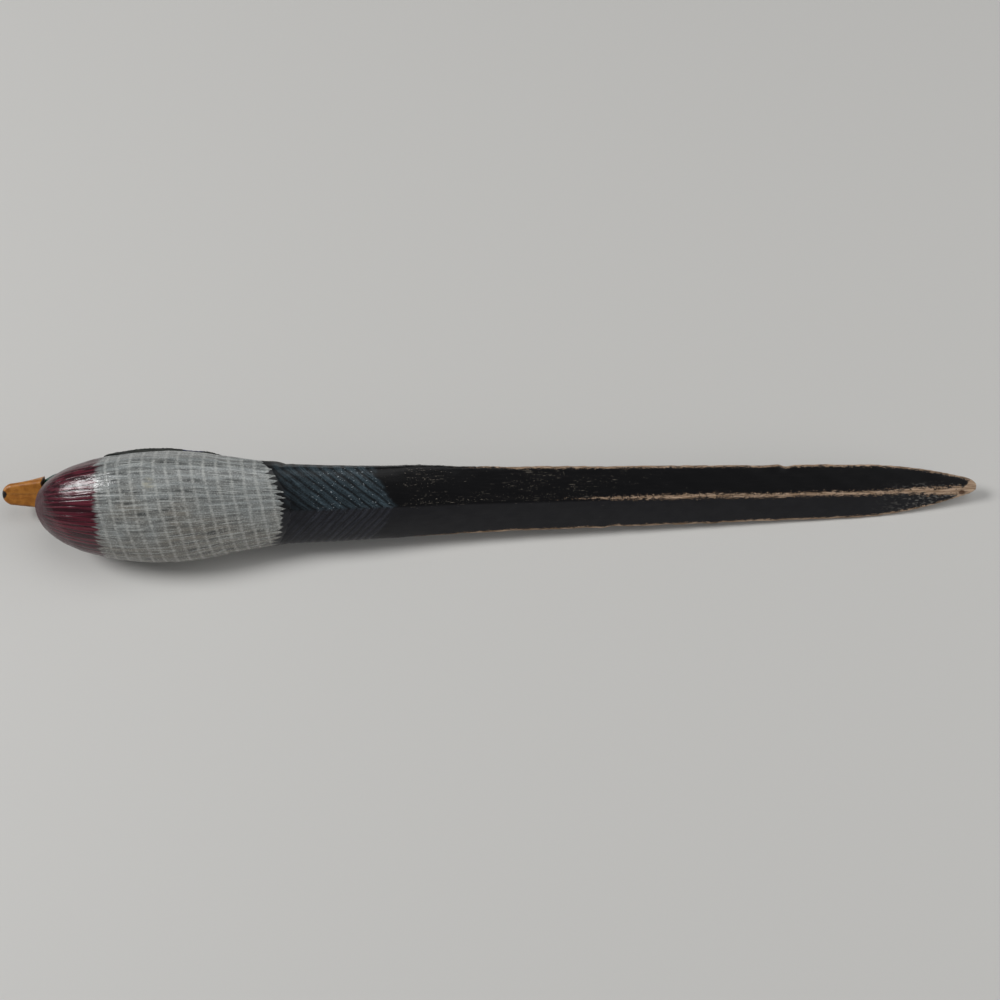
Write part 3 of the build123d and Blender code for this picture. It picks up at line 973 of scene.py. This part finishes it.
def mix_head_paint(groups):
    """Dark green with fine strokes, a white ring at the foot of the neck, and painted shade under the
    throat.
    """
    material, paint = new_paint("head paint")
    place = paint.bird_place()
    x, y, z = paint.parts(place)
    strokes = paint.mottle(paint.stretch(place, 0.3, 1.6, 1.0), 1.7)
    green = paint.coat(display(8, 42, 38), display(20, 88, 70), strokes.rise(0.4, 0.62))
    green = paint.coat(green, display(26, 66, 92), paint.mottle(place, 0.16).rise(0.5, 0.7) * 0.4)
    lower = z + strokes.between(-0.5, 0.5)
    ring = lower.rise(NECK_RING_TOP, NECK_RING_TOP + 0.3)
    ring = ring * x.rise(NECK_RING_FRONT, NECK_RING_FRONT + 0.7)
    white = paint.coat(display(168, 167, 160), display(198, 198, 192), strokes.rise(0.35, 0.6))
    colour = paint.coat(green, white, ring)
    # Near-black painted shade under the throat, in front of the neck ring
    throat_shade = lower.rise(THROAT_SHADE_TOP, THROAT_SHADE_TOP + 1.0) * x.rise(THROAT_SHADE_BACK, THROAT_SHADE_BACK - 2.0)
    colour = paint.coat(colour, display(24, 22, 22), throat_shade)
    lumps = Dial(paint.use(groups["lacquer"], "Height", Place=place))
    paint.finish(colour, lumps.between(0.22, 0.44), lumps + strokes, 0.07)
    return material


def mix_bill_paint(groups):
    """Ochre with brown grain, a black nail at the tip, black nostrils and a dark root."""
    material, paint = new_paint("bill paint")
    place = paint.bird_place()
    x, y, z = paint.parts(place)
    uneven = paint.mottle(place, 0.55, 3.0)
    grain = paint.mottle(paint.stretch(place, 0.4, 2.4, 2.4), 1.6)
    colour = paint.coat(display(158, 98, 33), display(186, 123, 50), uneven.rise(0.35, 0.65))
    colour = paint.coat(colour, display(118, 70, 34), grain.rise(0.55, 0.72) * 0.45)
    from_tip = x - (FACE_AT - BILL_LENGTH) + uneven.between(-1.0, 1.0)
    nail = from_tip + abs(y - 0.4)
    colour = paint.coat(colour, display(32, 26, 22), nail.rise(2.0, 1.5))
    ahead = x - (FACE_AT - NOSTRIL_AHEAD)
    nostril = ((ahead * 0.9) ** 2.0 + ((abs(y) - NOSTRIL_OUT) * 2.2) ** 2.0).rise(1.0, 0.5)
    on_top = z.rise(0.6 - BILL_RISE, 0.2 - BILL_RISE)
    colour = paint.coat(colour, display(28, 22, 18), nostril * on_top)
    root = x + uneven.between(-0.8, 0.8)
    colour = paint.coat(colour, display(58, 38, 25), root.rise(FACE_AT - 0.35, FACE_AT - 0.05))
    lumps = Dial(paint.use(groups["lacquer"], "Height", Place=place))
    paint.finish(colour, lumps.between(0.26, 0.46), lumps + grain, 0.06)
    return material


def mix_eye_glass():
    """A glass bead: black pupil, brown iris and a dark rim."""
    material, paint = new_paint("eye glass")
    place = paint.bird_place()
    x, y, z = paint.parts(place)
    flecks = paint.mottle(place, 3.0)
    from_pupil = ((x - EYE_AT) ** 2.0 + (z + EYE_RISE) ** 2.0) ** 0.5
    iris = paint.coat(display(70, 38, 18), display(122, 76, 36), flecks.rise(0.4, 0.65))
    colour = paint.coat(display(8, 8, 9), iris, from_pupil.rise(PUPIL_RADIUS, PUPIL_RADIUS + 0.06))
    dark_rim = from_pupil.rise(IRIS_RADIUS, IRIS_RADIUS + 0.1)
    colour = paint.coat(colour, display(14, 12, 12), dark_rim)
    paint.finish(colour, flecks.between(0.04, 0.08), flecks, 0.002)
    return material


def mix_dowel_wood(groups):
    """Bare wood with its grain along the dowel."""
    material, paint = new_paint("dowel wood")
    inputs = {"Vector": paint.bird_place(), "Rotation": (0.0, pi / 2, 0.0)}
    upright = add(paint.tree, "ShaderNodeMapping", inputs).outputs["Vector"]
    grain = Dial(paint.use(groups["bare wood"], "Grain", Place=upright))
    colour = paint.use(groups["bare wood"], "Colour", Place=upright)
    paint.finish(colour, grain.between(0.6, 0.85), grain, 0.05)
    return material


# Scene

CAMERA_TURN = -2.849
CAMERA_RISE = 63.734
CAMERA_DISTANCE = 399.8 * MM
CAMERA_AIM = Vector((2.26, 0.0, 6.985)) * MM
FRAME_PIXELS = 1000
FOCAL_PIXELS = 1442.6

DESK_WIDTH = 6.0

# Lamps: place and width in metres, and power in watts
LAMPS = {
    "window": ((-0.92, 0.1, 0.95), 0.52, 11.0),
    "ceiling": ((0.3, 0.18, 1.27), 1.0, 3.0),
    "right wall": ((1.1, -0.2, 0.5), 1.4, 9.0),
}
ROOM_COLOUR = (0.97, 0.98, 1.0, 1.0)
ROOM_LIGHT = 0.1


def place_camera():
    """A camera that looks at the opener from the angle of its photograph."""
    data = bpy.data.cameras.new("camera")
    camera = bpy.data.objects.new("camera", data)
    bpy.context.scene.collection.objects.link(camera)
    turn = radians(CAMERA_TURN)
    rise = radians(CAMERA_RISE)
    back = Vector((sin(turn) * cos(rise), -cos(turn) * cos(rise), sin(rise)))
    camera.location = CAMERA_AIM + back * CAMERA_DISTANCE
    camera.rotation_euler = (-back).to_track_quat("-Z", "Y").to_euler()
    data.sensor_width = 36.0
    data.lens = data.sensor_width * FOCAL_PIXELS / FRAME_PIXELS
    data.clip_start = 0.01
    data.clip_end = 10.0
    bpy.context.scene.camera = camera


def lay_desk():
    """A plain pale desk at the height of the lowest point."""
    bpy.ops.object.select_all(action="DESELECT")
    bpy.ops.mesh.primitive_plane_add(size=DESK_WIDTH, location=(0, 0, cad_box[0].z))
    desk = bpy.context.active_object
    desk.name = "desk"
    material = bpy.data.materials.new("desk paint")
    material.use_nodes = True
    shader = material.node_tree.nodes["Principled BSDF"]
    shader.inputs["Base Color"].default_value = display(200, 199, 196)
    shader.inputs["Roughness"].default_value = 0.6
    desk.data.materials.append(material)


def hang_lamp(name, place, width, power):
    """A round soft lamp that faces the opener."""
    data = bpy.data.lights.new(name, "AREA")
    data.shape = "DISK"
    data.size = width
    data.energy = power
    lamp = bpy.data.objects.new(name, data)
    bpy.context.scene.collection.objects.link(lamp)
    lamp.location = place
    lamp.rotation_euler = (CAMERA_AIM - Vector(place)).to_track_quat("-Z", "Y").to_euler()


def light_room():
    """Three soft lamps in a dim room."""
    world = bpy.data.worlds.new("room")
    bpy.context.scene.world = world
    world.use_nodes = True
    sky = world.node_tree.nodes["Background"]
    sky.inputs["Color"].default_value = ROOM_COLOUR
    sky.inputs["Strength"].default_value = ROOM_LIGHT
    for name, (place, width, power) in LAMPS.items():
        hang_lamp(name, place, width, power)


def dress(piece, material, node):
    """Gives a carved piece its paint and lets it stand for its solid."""
    piece.data.materials.append(material)
    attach(piece, "root")
    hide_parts(node)


def repaint(node, material):
    """Gives a solid that stays as it is a better finish."""
    solid = frame["nodes"][node]
    for slot in solid.material_slots:
        slot.material = material


place_camera()
lay_desk()
light_room()

groups = {
    "strokes": make_strokes(),
    "lacquer": make_lacquer(),
    "bare wood": make_bare_wood(),
    "wear": make_wear(),
    "tail black": make_tail_black(),
}
wing_paint = mix_wing_paint(groups)
eye_glass = mix_eye_glass()
dress(carve_body(), mix_body_paint(groups), "body")
dress(carve_blade(), mix_blade_paint(groups), "blade")
dress(carve_head(), mix_head_paint(groups), "head")
dress(carve_bill(), mix_bill_paint(groups), "bill")
dress(carve_wing(1, "left_wing"), wing_paint, "left_wing")
dress(carve_wing(-1, "right_wing"), wing_paint, "right_wing")
repaint("left_eye", eye_glass)
repaint("right_eye", eye_glass)
repaint("neck_dowel", mix_dowel_wood(groups))

bpy.context.scene.view_settings.view_transform = "Standard"
